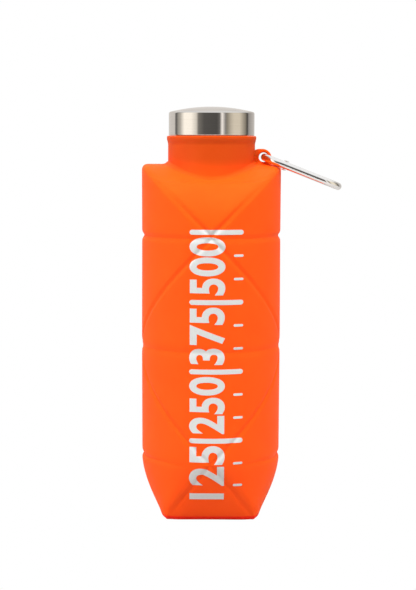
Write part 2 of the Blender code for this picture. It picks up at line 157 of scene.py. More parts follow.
def crease_angle(z):
    """Azimuth from the front at which the diagonal crease crosses height z, above the lowest level."""
    turn = np.where(
        z >= CREASE_1,
        np.arcsin(np.clip((z - V_FOOT) / (LEDGE - V_FOOT), 0, 0.99999)),
        np.where(
            z >= CREASE_2,
            QUARTER * (CREASE_1 - z) / (CREASE_1 - CREASE_2),
            QUARTER * (z - CREASE_3) / (CREASE_2 - CREASE_3),
        ),
    )
    return np.arctan2(HALF_WIDTH * np.sin(turn), HALF_DEPTH * np.cos(turn))


def upper_radius(azimuth, z):
    """Radius of the outside above the lowest crease level: round, with dished facets between its creases.

    The facet of the top section is straight across between the arms of its V, so it leans back as it rises.
    """
    azimuth, z = np.broadcast_arrays(azimuth, z)
    away = from_front(azimuth)
    base = 1 / np.hypot(np.sin(away) / HALF_WIDTH, np.cos(away) / HALF_DEPTH)
    crease = crease_angle(z)
    x = base * np.sin(away)
    y = base * np.cos(away)
    crease_x = HALF_WIDTH * np.sin(crease) + 1e-9
    crease_y = HALF_DEPTH * np.cos(crease) + 1e-9
    share = crease / QUARTER
    front = DENT_FRONT * share * np.clip(1 - (x / crease_x) ** 2, 0, 1)
    side = DENT_SIDE * (1 - share) * np.clip(1 - (y / crease_y) ** 2, 0, 1)
    on_front = away < crease
    y = np.where(on_front, y - front, y)
    x = np.where(on_front, x, x - side)
    chord = crease_y / np.cos(np.minimum(away, 1.5))
    radius = np.where(on_front & (z > CREASE_1), np.minimum(chord, base), np.hypot(x, y))
    lean = (crease_angle(z + SLOPE_STEP) - crease_angle(z - SLOPE_STEP)) / (2 * SLOPE_STEP)
    across = np.abs(away - crease) * base / np.hypot(1, lean * base)
    upper_depth = V_DEPTH * np.clip((V_FADE_END - z) / V_FADE, 0, 1)
    depth = np.where(z > CREASE_1, upper_depth, DIAGONAL_DEPTH)
    return radius - depth * groove(across, DIAGONAL_WIDTH) - level_grooves(away, z)


def foot_outline(z):
    """(side half-width, crease x, front half-depth) of the lowest section at height z."""
    up = np.clip(z / CREASE_3, 0, 1)
    bulge = 1 - (1 - up) ** FOOT_SIDE_POWER
    side = FOOT_HALF_WIDTH + (HALF_WIDTH - FOOT_HALF_WIDTH) * bulge
    corner_x = FOOT_HALF_WIDTH * (1 - up)
    corner_y = FOOT_HALF_DEPTH + (HALF_DEPTH - FOOT_HALF_DEPTH) * up ** FOOT_FRONT_POWER
    return side, corner_x, corner_y


def foot_radius(azimuth, z):
    """Radius of the outside of the lowest section, from round at its crease level to square at the foot."""
    azimuth, z = np.broadcast_arrays(azimuth, z)
    away = from_front(azimuth)
    side, corner_x, corner_y = foot_outline(z)
    on_front = np.tan(np.clip(away, 0, 1.5)) * corner_y < corner_x
    low = np.zeros_like(away)
    high = np.full_like(away, QUARTER)
    for _ in range(40):
        middle = (low + high) / 2
        x = corner_x + (side - corner_x) * np.cos(middle)
        y = corner_y * np.sin(middle)
        too_far = np.arctan2(x, y) < away
        high = np.where(too_far, middle, high)
        low = np.where(too_far, low, middle)
    x = corner_x + (side - corner_x) * np.cos(low)
    y = corner_y * np.sin(low)
    radius = np.where(on_front, corner_y / np.cos(np.minimum(away, 1.4)), np.hypot(x, y))
    corner = np.arctan2(corner_x, corner_y)
    across = np.abs(away - corner) * np.hypot(corner_x, corner_y) * FOOT_CREASE_LEAN
    up = np.clip(z / CREASE_3, 0, 1)
    softened = FOOT_CORNER_CUT * (1 - up) ** 2 * groove(across, FOOT_CORNER_WIDTH)
    depth = DIAGONAL_DEPTH * np.clip(z / FOOT_CREASE_START, 0, 1)
    radius = radius - softened - depth * groove(across, DIAGONAL_WIDTH) - level_grooves(away, z)
    under = np.clip(FOOT_ROUND - z, 0, FOOT_ROUND)
    return radius - (FOOT_ROUND - np.sqrt(FOOT_ROUND ** 2 - under ** 2))


# ---- mesh helpers
def azimuths(count=COLUMNS):
    return np.arange(count) * 2 * math.pi / count


def ring(radius, z, angles):
    radius = np.broadcast_to(radius, angles.shape)
    z = np.broadcast_to(z, angles.shape)
    return np.stack([radius * np.sin(angles), -radius * np.cos(angles), z], axis=1)


def rows_between(low, high, step=ROW):
    return np.linspace(low, high, max(2, round((high - low) / step) + 1))


def linked(name, data):
    obj = bpy.data.objects.new(name, data)
    scene.collection.objects.link(obj)
    return obj


def mesh_object(name, verts, faces, material):
    mesh = bpy.data.meshes.new(name)
    mesh.from_pydata([tuple(v) for v in verts], [], [tuple(f) for f in faces])
    mesh.validate()
    mesh.update()
    mesh.materials.append(material)
    mesh.shade_smooth()
    mesh.set_sharp_from_angle(angle=SHARP_ANGLE)
    return linked(name, mesh)


def object_from(bm, name):
    mesh = bpy.data.meshes.new(name)
    bm.to_mesh(mesh)
    bm.free()
    return linked(name, mesh)


def evaluated_mesh(obj):
    bpy.context.view_layer.update()
    return bpy.data.meshes.new_from_object(obj.evaluated_get(bpy.context.evaluated_depsgraph_get()))


def joined(obj, *others):
    """obj with the others' meshes added to it as further shells, and its faces turned outward."""
    bm = bmesh.new()
    for part in (obj, *others):
        bm.from_mesh(part.data)
    bmesh.ops.recalc_face_normals(bm, faces=bm.faces)
    bm.to_mesh(obj.data)
    bm.free()
    for other in others:
        bpy.data.objects.remove(other)
    obj.data.set_sharp_from_angle(angle=SHARP_ANGLE)
    return obj


def grid_object(name, rings, material, loop=True, caps=False):
    """A skin over rings of equal point count. A loop joins the last ring to the first."""
    rings = np.array(rings)
    count, around = rings.shape[:2]
    index = np.arange(count * around).reshape(count, around)
    lower = index if loop else index[:-1]
    upper = np.roll(index, -1, axis=0) if loop else index[1:]
    corners = [lower, np.roll(lower, -1, 1), np.roll(upper, -1, 1), upper]
    faces = np.stack(corners, axis=-1).reshape(-1, 4).tolist()
    if caps:
        faces.append(index[0][::-1].tolist())
        faces.append(index[-1].tolist())
    return mesh_object(name, rings.reshape(-1, 3), faces, material)


def finish_piece(obj, body, slot, *nodes):
    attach(obj, body)
    if nodes:
        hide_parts(*nodes)


def fold_with(obj):
    """Gives a piece its own copy of its mesh."""
    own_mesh(obj)


# ---- materials
def new_material(name):
    material = bpy.data.materials.new(name)
    material.use_nodes = True
    return material, material.node_tree, material.node_tree.nodes["Principled BSDF"]


def feed(tree, node, inputs):
    """Sets each input of a node to a value, or links it to the output that is given for it."""
    for key, value in inputs.items():
        if isinstance(value, bpy.types.NodeSocket):
            tree.links.new(value, node.inputs[key])
        else:
            node.inputs[key].default_value = value
    return node


def add_node(tree, kind, inputs, **settings):
    node = tree.nodes.new(kind)
    for key, value in settings.items():
        setattr(node, key, value)
    return feed(tree, node, inputs)


def coordinates(tree, kind):
    return tree.nodes.new("ShaderNodeTexCoord").outputs[kind]


def noise(tree, vector, scale, detail=3.0, roughness=0.5):
    inputs = {"Vector": vector, "Scale": scale, "Detail": detail, "Roughness": roughness}
    return add_node(tree, "ShaderNodeTexNoise", inputs).outputs["Fac"]


def ramp(tree, source, stops):
    node = add_node(tree, "ShaderNodeValToRGB", {"Fac": source})
    while len(node.color_ramp.elements) < len(stops):
        node.color_ramp.elements.new(0.5)
    for element, (place, colour) in zip(node.color_ramp.elements, stops):
        element.position = place
        element.color = (*colour, 1)
    return node.outputs["Color"]


def bump(tree, height, strength, distance):
    inputs = {"Height": height, "Strength": strength, "Distance": distance}
    return add_node(tree, "ShaderNodeBump", inputs).outputs["Normal"]


def range_of(tree, source, low, high):
    """The source, from 0 to 1, taken to run from low to high."""
    inputs = {"Value": source, "To Min": low, "To Max": high}
    return add_node(tree, "ShaderNodeMapRange", inputs).outputs["Result"]


def rise(tree, source, start, end):
    """0 where the source is at the start, 1 at the end, and smooth between."""
    inputs = {"Value": source, "From Min": start, "From Max": end}
    node = add_node(tree, "ShaderNodeMapRange", inputs, interpolation_type="SMOOTHSTEP")
    return node.outputs["Result"]


def math_node(tree, operation, *operands):
    node = add_node(tree, "ShaderNodeMath", dict(enumerate(operands)), operation=operation)
    return node.outputs["Value"]


def vector_node(tree, operation, *operands):
    return add_node(tree, "ShaderNodeVectorMath", dict(enumerate(operands)), operation=operation)


def white_to_camera(tree, shader, white, surface):
    """The surface is plain white to the camera, and has its own shader for light and reflections."""
    seen = tree.nodes.new("ShaderNodeLightPath").outputs["Is Camera Ray"]
    mix = add_node(tree, "ShaderNodeMixShader", {"Fac": seen, 1: shader, 2: white})
    tree.links.new(mix.outputs["Shader"], surface)


# Painted shade: multipliers that darken the colour on the neck and on the foot band.
NECK_PAINTED_SHADE = (0.57, 0.72, 0.95)
FOOT_PAINTED_SHADE = (1.0, 0.26, 0.90)


def painted_shade_at_ends(tree, colour):
    """The colour with painted shade: darker and redder on the neck, and darker on the band round the foot
    that faces down.
    """
    place = coordinates(tree, "Object")
    height = add_node(tree, "ShaderNodeSeparateXYZ", {"Vector": place}).outputs["Z"]
    flat = vector_node(tree, "MULTIPLY", place, (1, 1, 0)).outputs["Vector"]
    reach = vector_node(tree, "LENGTH", flat).outputs["Value"]
    near_neck = rise(tree, reach, 26.5 * MM, 24.8 * MM)
    neck = math_node(tree, "MULTIPLY", rise(tree, height, 183.0 * MM, 196.0 * MM), near_neck)
    foot = rise(tree, height, 3.3 * MM, 2.2 * MM)
    for share, tint in ((neck, NECK_PAINTED_SHADE), (foot, FOOT_PAINTED_SHADE)):
        inputs = {"Factor": share, "A": colour, "B": (*tint, 1)}
        mix = add_node(tree, "ShaderNodeMix", inputs, data_type="RGBA", blend_type="MULTIPLY")
        colour = mix.outputs["Result"]
    return colour


def make_silicone():
    material, tree, shader = new_material("matte_orange_silicone")
    cloud = noise(tree, coordinates(tree, "Object"), 55.0)
    grain = noise(tree, coordinates(tree, "Object"), 2600.0, 2.0)
    colour = ramp(tree, cloud, [(0.3, (0.97, 0.080, 0.0032)), (0.7, (0.99, 0.088, 0.0040))])
    feed(tree, shader, {
        # The base colour carries painted shade on the neck and on the foot band.
        "Base Color": painted_shade_at_ends(tree, colour),
        "Roughness": range_of(tree, grain, 0.52, 0.64),
        "Normal": bump(tree, grain, 0.25, 0.04 * MM),
        "Specular IOR Level": 0.14,
        "Subsurface Weight": 0.2,
        "Subsurface Radius": (1.0, 0.5, 0.25),
        "Subsurface Scale": 2.2 * MM,
    })
    return material


def make_ink():
    material, tree, shader = new_material("pale_print_ink")
    grain = noise(tree, coordinates(tree, "Object"), 1800.0, 2.0)
    colour = ramp(tree, grain, [(0.3, (0.54, 0.555, 0.555)), (0.7, (0.59, 0.605, 0.605))])
    feed(tree, shader, {"Base Color": colour, "Roughness": 0.42})
    return material


def make_steel():
    """Satin steel with the fine level lines that a lathe leaves."""
    material, tree, shader = new_material("satin_turned_steel")
    stretch = {"Vector": coordinates(tree, "Object"), "Scale": (30.0, 30.0, 9000.0)}
    stretched = add_node(tree, "ShaderNodeMapping", stretch).outputs["Vector"]
    lines = noise(tree, stretched, 1.0, 3.0, 0.6)
    feed(tree, shader, {
        "Base Color": ramp(tree, lines, [(0.25, (0.60, 0.575, 0.55)), (0.75, (0.70, 0.68, 0.655))]),
        "Roughness": range_of(tree, lines, 0.05, 0.10),
        "Normal": bump(tree, lines, 0.10, 0.01 * MM),
        "Metallic": 1.0,
    })
    return material


def make_clouded(name, dark, light, smooth, rough, cloud=(260.0, 4.0), relief=0.1, metallic=0.0):
    """A plain moulding or a plated wire, with a faint cloud in its colour, gloss and surface."""
    material, tree, shader = new_material(name)
    mottle = noise(tree, coordinates(tree, "Object"), *cloud)
    feed(tree, shader, {
        "Base Color": ramp(tree, mottle, [(0.3, dark), (0.7, light)]),
        "Roughness": range_of(tree, mottle, smooth, rough),
        "Normal": bump(tree, mottle, relief, 0.03 * MM),
        "Metallic": metallic,
    })
    return material


SILICONE = make_silicone()
INK = make_ink()
STEEL = make_steel()
NICKEL = make_clouded(
    "nickel_plated_wire", (0.82, 0.81, 0.80), (0.88, 0.87, 0.86), 0.07, 0.16,
    cloud=(700.0, 3.0), relief=0.06, metallic=1.0,
)
NECK_PLASTIC = make_clouded("natural_neck_plastic", (0.70, 0.70, 0.67), (0.76, 0.76, 0.73), 0.31, 0.41)
CAP_PLASTIC = make_clouded("cap_liner_plastic", (0.010, 0.010, 0.011), (0.016, 0.016, 0.017), 0.37, 0.47)
SEAL_RUBBER = make_clouded("seal_silicone", (0.66, 0.66, 0.63), (0.72, 0.72, 0.69), 0.45, 0.55)
SPRING_STEEL = make_clouded("spring_wire", (0.30, 0.30, 0.31), (0.40, 0.40, 0.41), 0.25, 0.35, metallic=1.0)


# ---- the silicone body
# Each fold section: its number, its outside, its lowest and highest level, its body and its joint.
SECTIONS = [
    ("4", foot_radius, FOOT_TOP, CREASE_3, "base", "fold_4"),
    ("3", upper_radius, CREASE_3, CREASE_2, "fold_ring_3", "fold_3"),
    ("2", upper_radius, CREASE_2, CREASE_1, "fold_ring_2", "fold_2"),
    ("1", upper_radius, CREASE_1, SEAM, "fold_ring_1", "fold_1"),
]


def make_foot():
    """The solid foot: flat underneath, with a rounded edge and a shallow hollow in its top."""
    angles = azimuths()
    underside = foot_radius(angles, 0.0)
    rings = [ring(underside * share, 0.0, angles) for share in (0.02, 0.25, 0.5, 0.75, 0.92)]
    heights = [*np.linspace(0, FOOT_ROUND, 9), *np.linspace(FOOT_ROUND, FOOT_TOP, 3)[1:]]
    rings += [ring(foot_radius(angles, z), z, angles) for z in heights]
    inside = foot_radius(angles, FOOT_TOP) - WALL
    rings.append(ring(inside, FOOT_TOP, angles))
    rings += [ring(inside * share, FOOT_TOP - FOOT_HOLLOW, angles) for share in (0.97, 0.02)]
    foot = grid_object("silicone_foot", rings, SILICONE, loop=False, caps=True)
    finish_piece(foot, "base", "silicone", "base_foot")


def make_sections():
    """Each fold section is a closed tube of wall from seam to seam."""
    angles = azimuths()
    for number, radius_at, low, high, body, joint in SECTIONS:
        bottom, top = low + SEAM_GAP, high - SEAM_GAP
        outer = [ring(radius_at(angles, z), z, angles) for z in rows_between(bottom, top)]
        inner = [ring(radius_at(angles, z) - WALL, z, angles) for z in rows_between(bottom, top, 4 * ROW)]
        section = grid_object("silicone_section_" + number, outer + inner[::-1], SILICONE)
        finish_piece(section, body, "silicone", "wall_section_" + number)
        fold_with(section)


def shoulder_curve(angle):
    """The outside from the seam over the shoulder to the neck, as even (radius, height) points.

    Each point is the mean of the outside to either side of it, which softens the corners.
    """
    bend = LEDGE - 0.5 * MM
    heights = np.concatenate([np.linspace(SEAM + SEAM_GAP, bend, 600), np.linspace(bend, LEDGE, 400)[1:]])
    radii = np.maximum(upper_radius(np.full(heights.shape, angle), heights), NECK_RADIUS)
    radii[-1] = NECK_RADIUS
    last = int(np.argmax(radii <= NECK_RADIUS))
    points = np.column_stack([radii, heights])[: last + 1]
    points = np.vstack([points, points[-1] + np.array([0, 1]) * NECK_RUN])
    length = np.concatenate([[0], np.cumsum(np.linalg.norm(np.diff(points, axis=0), axis=1))])
    even = np.arange(0, length[-1], CURVE_STEP)
    fine = np.column_stack([np.interp(even, length, points[:, k]) for k in (0, 1)])
    total = np.vstack([[0, 0], np.cumsum(fine, axis=0)])
    softness = SHOULDER_SOFT + CORNER_SOFT * math.sin(angle) ** 4
    out = []
    for place in np.linspace(0, len(fine) - 1, SHOULDER_POINTS):
        reach = min(softness / CURVE_STEP, place, len(fine) - 1 - place)
        low, high = int(round(place - reach)), int(round(place + reach))
        out.append(tuple((total[high + 1] - total[low]) / (high + 1 - low)))
    return out, float(points[-2][1])


def shoulder_profile(angle):
    """The shoulder and neck as (radius, height) points at one azimuth, up the outside and down the inside."""
    points, top = shoulder_curve(angle)
    neck_start = points[-1][1]
    for i in range(1, 17):
        points.append((NECK_RADIUS, neck_start + (LIP_BOTTOM - LIP_RISE / 2 - neck_start) * i / 16))
    bulge = LIP_RADIUS - NECK_RADIUS
    for i in range(1, 11):
        share = i / 10
        out = bulge * (1 - math.cos(math.pi * share)) / 2
        points.append((NECK_RADIUS + out, LIP_BOTTOM + LIP_RISE * (share - 0.5)))
    for i in range(9):
        turn = QUARTER * i / 8
        inward, down = LIP_ROUND * (1 - math.cos(turn)), LIP_ROUND * (1 - math.sin(turn))
        points.append((LIP_RADIUS - inward, SLEEVE_TOP - down))
    inside_top = SEAM + (top - SEAM) * 0.70
    inside_edge = float(upper_radius(angle, inside_top)) - WALL
    points += [
        (SLEEVE_BORE + BORE_EDGE, SLEEVE_TOP),
        (SLEEVE_BORE, SLEEVE_TOP - BORE_EDGE),
        (SLEEVE_BORE, inside_top),
        (max(SLEEVE_BORE + 0.2 * MM, inside_edge - 0.5 * MM), inside_top - 0.3 * MM),
        (float(upper_radius(angle, SEAM)) - WALL, SEAM + SEAM_GAP),
    ]
    return points


def make_neck_sleeve():
    angles = azimuths()
    profiles = np.array([shoulder_profile(angle) for angle in angles])
    rings = [ring(profiles[:, i, 0], profiles[:, i, 1], angles) for i in range(profiles.shape[1])]
    sleeve = grid_object("silicone_shoulder_and_neck", rings, SILICONE)
    finish_piece(sleeve, "neck", "silicone", "neck_sleeve")


make_foot()
make_sections()
make_neck_sleeve()


# ---- the lug on the neck
LUG_TOP = 200.3 * MM
LUG_END = 32.7 * MM
LUG_CORNER = 5.0 * MM
LUG_HALF = 1.8 * MM
LUG_HOLE = Vector((28.3 * MM, 0, 195.8 * MM))
LUG_HOLE_RADIUS = 2.6 * MM
LUG_ROUNDING = 0.8 * MM
LUG_FLARE = 1.1 * MM
LUG_FLARE_REACH = 0.8 * MM


def make_lug():
    """A flat tab with a round eye, its edges rounded and its root flared into the neck and the ledge."""
    low_x = NECK_RADIUS - 2.5 * MM
    low_z = LEDGE - 4.5 * MM
    centre = ((low_x + LUG_END) / 2, (low_z + LUG_TOP) / 2)
    half = ((LUG_END - low_x) / 2 - LUG_CORNER, (LUG_TOP - low_z) / 2 - LUG_CORNER)
    angles = azimuths(128)
    toward_x, toward_z = np.cos(angles), np.sin(angles)
    hole = np.full(angles.shape, LUG_HOLE_RADIUS)
    rim, far = hole, np.full(angles.shape, 30 * MM)
    for _ in range(40):
        middle = (rim + far) / 2
        out_x = np.maximum(np.abs(LUG_HOLE.x + toward_x * middle - centre[0]) - half[0], 0)
        out_z = np.maximum(np.abs(LUG_HOLE.z + toward_z * middle - centre[1]) - half[1], 0)
        outside = np.hypot(out_x, out_z) > LUG_CORNER
        far = np.where(outside, middle, far)
        rim = np.where(outside, rim, middle)
    quarter = [QUARTER * i / 8 for i in range(9)]
    edge = [(LUG_ROUNDING * (1 - math.sin(t)), LUG_ROUNDING * (1 - math.cos(t))) for t in quarter]
    start, end = hole + LUG_ROUNDING, rim - LUG_ROUNDING
    section = [(hole + inset, drop) for inset, drop in edge]
    section += [(start + (end - start) * i / 12, 0.0) for i in range(1, 12)]
    section += [(rim - inset, drop) for inset, drop in edge[::-1]]
    rings = []
    for side in (-1, 1):
        for reach, drop in section[::-side]:
            x = LUG_HOLE.x + toward_x * reach
            z = LUG_HOLE.z + toward_z * reach
            root = np.minimum(np.maximum(x - NECK_RADIUS, 0), np.maximum(z - LEDGE, 0))
            flare = LUG_FLARE * np.exp(-root / LUG_FLARE_REACH)
            rings.append(np.stack([x, side * (LUG_HALF - drop + flare), z], axis=1))
    finish_piece(grid_object("silicone_lug", rings, SILICONE), "neck", "silicone")


make_lug()


# ---- turned pieces
# The smallest radius of a turned piece, which keeps its middle from closing on a single point.
AXIS = 0.02 * MM


def turned_piece(name, profile, material, steps=256):
    """A solid of revolution about the bottle's axis, from a closed (radius, height) profile."""
    angles = azimuths(steps)
    rings = [ring(max(radius, AXIS), height, angles) for radius, height in profile]
    return grid_object(name, rings, material)


def rounded(points, radii, steps=6):
    """A closed outline with each corner rounded by its own radius."""
    out = []
    count = len(points)
    for i, (corner, radius) in enumerate(zip(points, radii)):
        corner = Vector(corner)
        if radius == 0:
            out.append(tuple(corner))
            continue
        before = (Vector(points[i - 1]) - corner).normalized()
        after = (Vector(points[(i + 1) % count]) - corner).normalized()
        half = before.angle(after) / 2
        reach = radius / math.tan(half)
        centre = corner + (before + after).normalized() * radius / math.sin(half)
        start = corner + before * reach - centre
        end = corner + after * reach - centre
        for step in range(steps + 1):
            turn = start.normalized().slerp(end.normalized(), step / steps)
            out.append(tuple(centre + turn * radius))
    return out


CAP_RADIUS = CAP_HIGH.x
CAP_SIDE_TOP = CAP_HIGH.z - 3.9 * MM
CAP_BOTTOM = SLEEVE_TOP + 0.15 * MM
DOME_FOOT = CAP_SIDE_TOP + 1.15 * MM
CAP_EDGE = 1.3 * MM
CAP_EDGE_TURN = math.radians(74)
SHELL_WALL = 0.8 * MM


def make_cap():
    """The pressed steel shell: straight side, small rounded edge, shallow dome."""
    outside = [
        (CAP_RADIUS - 0.45 * MM, CAP_BOTTOM),
        (CAP_RADIUS - 0.15 * MM, CAP_BOTTOM + 0.06 * MM),
        (CAP_RADIUS, CAP_BOTTOM + 0.3 * MM),
    ]
    outside += [(CAP_RADIUS, z) for z in np.linspace(CAP_BOTTOM + 0.9 * MM, CAP_SIDE_TOP, 8)]
    for i in range(1, 9):
        turn = CAP_EDGE_TURN * i / 8
        share = math.sin(turn) / math.sin(CAP_EDGE_TURN)
        height = CAP_SIDE_TOP + (DOME_FOOT - CAP_SIDE_TOP) * share
        outside.append((CAP_RADIUS - CAP_EDGE + CAP_EDGE * math.cos(turn), height))
    start = outside[-1][0]
    for i in range(1, 25):
        radius = start * (1 - i / 24)
        outside.append((radius, DOME_FOOT + (CAP_HIGH.z - DOME_FOOT) * (1 - (radius / start) ** 2)))
    inside = []
    for radius, height in outside[4:]:
        within = radius - SHELL_WALL if height < DOME_FOOT else radius * 0.965
        inside.append((within, height - SHELL_WALL))
    inside[0] = (CAP_RADIUS - SHELL_WALL, CAP_BOTTOM + 0.3 * MM)
    inside.insert(0, (CAP_RADIUS - SHELL_WALL + 0.1 * MM, CAP_BOTTOM + 0.05 * MM))
    shell = turned_piece("steel_cap", outside + inside[::-1], STEEL)
    finish_piece(shell, "cap", "cap_steel", "cap_shell")


make_cap()


# ---- the neck's ring and the cap's inner pieces
THREAD_PITCH = 5.0 * MM
THREAD_RADIUS = 0.9 * MM
THREAD_BURIED = 0.7 * MM
THREAD_START = 209.2 * MM
THREAD_STEPS = 160
THREAD_SIDES = 16
RING_TURNS = 1.1
LINER_TURNS = 1.0
RING_ROOT = 19.4 * MM
RING_BORE = 18.2 * MM
BEAD_HEIGHT = 197.5 * MM
BEAD_DEPTH = 0.7 * MM
LINER_ROOT = 21.3 * MM
SEAL_INNER = 17.6 * MM
CLOSURE_SIDES = 160


def thread(radius, turns, first, material):
    """One right-hand thread ridge that runs out smoothly into the wall at both ends, as a closed tube."""
    rings = []
    sides = azimuths(THREAD_SIDES)
    for i in range(THREAD_STEPS + 1):
        share = i / THREAD_STEPS
        turn = first + 2 * math.pi * turns * share
        height = THREAD_START + THREAD_PITCH * turns * share
        swell = max(0.05, min(1, math.sin(math.pi * share) * 7)) ** 0.5
        across = radius + THREAD_RADIUS * swell * np.cos(sides)
        up = height + THREAD_RADIUS * swell * np.sin(sides)
        rings.append(np.column_stack([across * math.cos(turn), across * math.sin(turn), up]))
    return grid_object("ridge", rings, material, loop=False, caps=True)


def make_closure():
    """The ring inside the neck, the liner inside the shell, each with its thread, and the seal washer."""
    outer = RING_HIGH.x - BEAD_DEPTH
    foot = RING_LOW.z
    step_top = SLEEVE_TOP - 0.3 * MM
    outline = [
        (RING_BORE, RING_HIGH.z), (RING_ROOT, RING_HIGH.z), (RING_ROOT, step_top), (outer, step_top),
        (outer, BEAD_HEIGHT + 2.0 * MM), (outer + BEAD_DEPTH, BEAD_HEIGHT + 1.0 * MM),
        (outer + BEAD_DEPTH, BEAD_HEIGHT - 1.0 * MM), (outer, BEAD_HEIGHT - 2.0 * MM),
        (outer, foot + 0.8 * MM), (outer - 0.8 * MM, foot), (RING_BORE, foot),
    ]
    radii = [0.5 * MM, 0.5 * MM, 0.4 * MM] + [0.3 * MM] * 7 + [0.4 * MM]
    ring_body = turned_piece("threaded_neck_ring", rounded(outline, radii), NECK_PLASTIC, CLOSURE_SIDES)
    ridge = thread(RING_ROOT + THREAD_RADIUS - THREAD_BURIED, RING_TURNS, 0, NECK_PLASTIC)
    finish_piece(joined(ring_body, ridge), "neck", "neck_plastic", "neck_ring")

    bottom, top, side = LINER_LOW.z, LINER_HIGH.z, LINER_HIGH.x
    under = SEAL_HIGH.z + 0.3 * MM
    outline = [
        (AXIS, top), (side - 1.2 * MM, top), (side, top - 1.2 * MM), (side, bottom),
        (LINER_ROOT, bottom), (LINER_ROOT, under), (AXIS, under),
    ]
    radii = [0, 0.4 * MM, 0.4 * MM, 0.25 * MM, 0.25 * MM, 0.3 * MM, 0]
    liner = turned_piece("cap_thread_liner", rounded(outline, radii), CAP_PLASTIC, CLOSURE_SIDES)
    ridge = thread(LINER_ROOT - THREAD_RADIUS + THREAD_BURIED, LINER_TURNS, math.pi, CAP_PLASTIC)
    finish_piece(joined(liner, ridge), "cap", "cap_plastic", "cap_liner")

    low, high = SEAL_LOW.z, SEAL_HIGH.z
    outline = [(SEAL_INNER, high), (SEAL_HIGH.x, high), (SEAL_HIGH.x, low), (SEAL_INNER, low)]
    seal = turned_piece("seal_washer", rounded(outline, [0.3 * MM] * 4), SEAL_RUBBER, CLOSURE_SIDES)
    finish_piece(seal, "seal", "seal_silicone", "cap_seal")


make_closure()


# ---- the print
PRINT_LEFT = -11.4 * MM
PRINT_RIGHT = 7.4 * MM
BAR_END = PRINT_RIGHT + 9.5 * MM
BAR_THICK = 2.6 * MM
BAR_PITCH = 36.9 * MM
FIRST_BAR = 46.3 * MM
TICK_START = PRINT_RIGHT + 4.5 * MM
TICK_THICK = 1.3 * MM
NUMBER_LENGTH = 30.5 * MM
PRINT_CUT_X = 0.6 * MM
PRINT_CUT_Z = 0.5 * MM
PRINT_PROUD = 0.12 * MM
PRINT_SUNK = 0.25 * MM
FRONT_LIMIT = 0.95


def number_mark(text, height):
    """Digits that read upward, as tall as the print is wide, ending at a height."""
    curve = bpy.data.curves.new("number", "FONT")
    curve.body = text
    curve.offset = 0.028
    curve.space_character = 1.04
    curve.resolution_u = 10
    guide = linked("guide", curve)
    mesh = evaluated_mesh(guide)
    bm = bmesh.new()
    bm.from_mesh(mesh)
    bpy.data.objects.remove(guide)
    bpy.data.meshes.remove(mesh)
    bmesh.ops.remove_doubles(bm, verts=bm.verts, dist=1e-7)
    xs = [v.co.x for v in bm.verts]
    ys = [v.co.y for v in bm.verts]
    low_x, high_x, low_y, high_y = min(xs), max(xs), min(ys), max(ys)
    tall = PRINT_RIGHT - PRINT_LEFT
    for v in bm.verts:
        along = (v.co.x - low_x) / (high_x - low_x)
        across = (v.co.y - low_y) / (high_y - low_y)
        v.co = (PRINT_RIGHT - across * tall, height - NUMBER_LENGTH + along * NUMBER_LENGTH, 0)
    return bm


def bar_mark(left, right, height, thick):
    """A bar with round ends across the bottle, as a flat bmesh."""
    bm = bmesh.new()
    radius = thick / 2
    outline = []
    for centre, start in ((right - radius, -90), (left + radius, 90)):
        for i in range(13):
            turn = math.radians(start + 180 * i / 12)
            outline.append((centre + radius * math.cos(turn), height + radius * math.sin(turn), 0))
    bm.faces.new([bm.verts.new(point) for point in outline])
    return bm


def cut_fine(bm):
    """Cuts flat faces along a fine grid and at the seams between sections, so that they follow the body."""
    for axis, step in ((0, PRINT_CUT_X), (1, PRINT_CUT_Z)):
        values = [v.co[axis] for v in bm.verts]
        first = math.floor(min(values) / step) + 1
        places = [i * step for i in range(first, math.ceil(max(values) / step))]
        if axis == 1:
            seams = (FOOT_TOP, CREASE_3, CREASE_2, CREASE_1, SEAM)
            places += [z for z in seams if min(values) < z < max(values)]
        for place in places:
            normal = Vector((axis == 0, axis == 1, 0))
            geometry = bm.verts[:] + bm.edges[:] + bm.faces[:]
            bmesh.ops.bisect_plane(bm, geom=geometry, dist=1e-8, plane_co=normal * place, plane_no=normal)
    return bm


def front_point(radius_at, x, z, lift):
    """The points of the front at x and z, each lifted off the outside of the wall."""
    azimuth = np.arcsin(np.clip(x / HALF_WIDTH, -FRONT_LIMIT, FRONT_LIMIT))
    for _ in range(12):
        azimuth = np.arcsin(np.clip(x / radius_at(azimuth, z), -FRONT_LIMIT, FRONT_LIMIT))
    radius = radius_at(azimuth, z) + lift
    return np.stack([radius * np.sin(azimuth), -radius * np.cos(azimuth), z], axis=1)


def volume_marks():
    """A generic volume scale as flat marks: numbers, a bar above each, and two ticks between bars."""
    marks = []
    for i, text in enumerate(("125", "250", "375", "500")):
        level = FIRST_BAR + BAR_PITCH * i
        marks.append(number_mark(text, level - BAR_THICK))
        marks.append(bar_mark(PRINT_LEFT, BAR_END, level, BAR_THICK))
        for j in (1, 2):
            marks.append(bar_mark(TICK_START, BAR_END, level - BAR_PITCH * j / 3, TICK_THICK))
    return marks


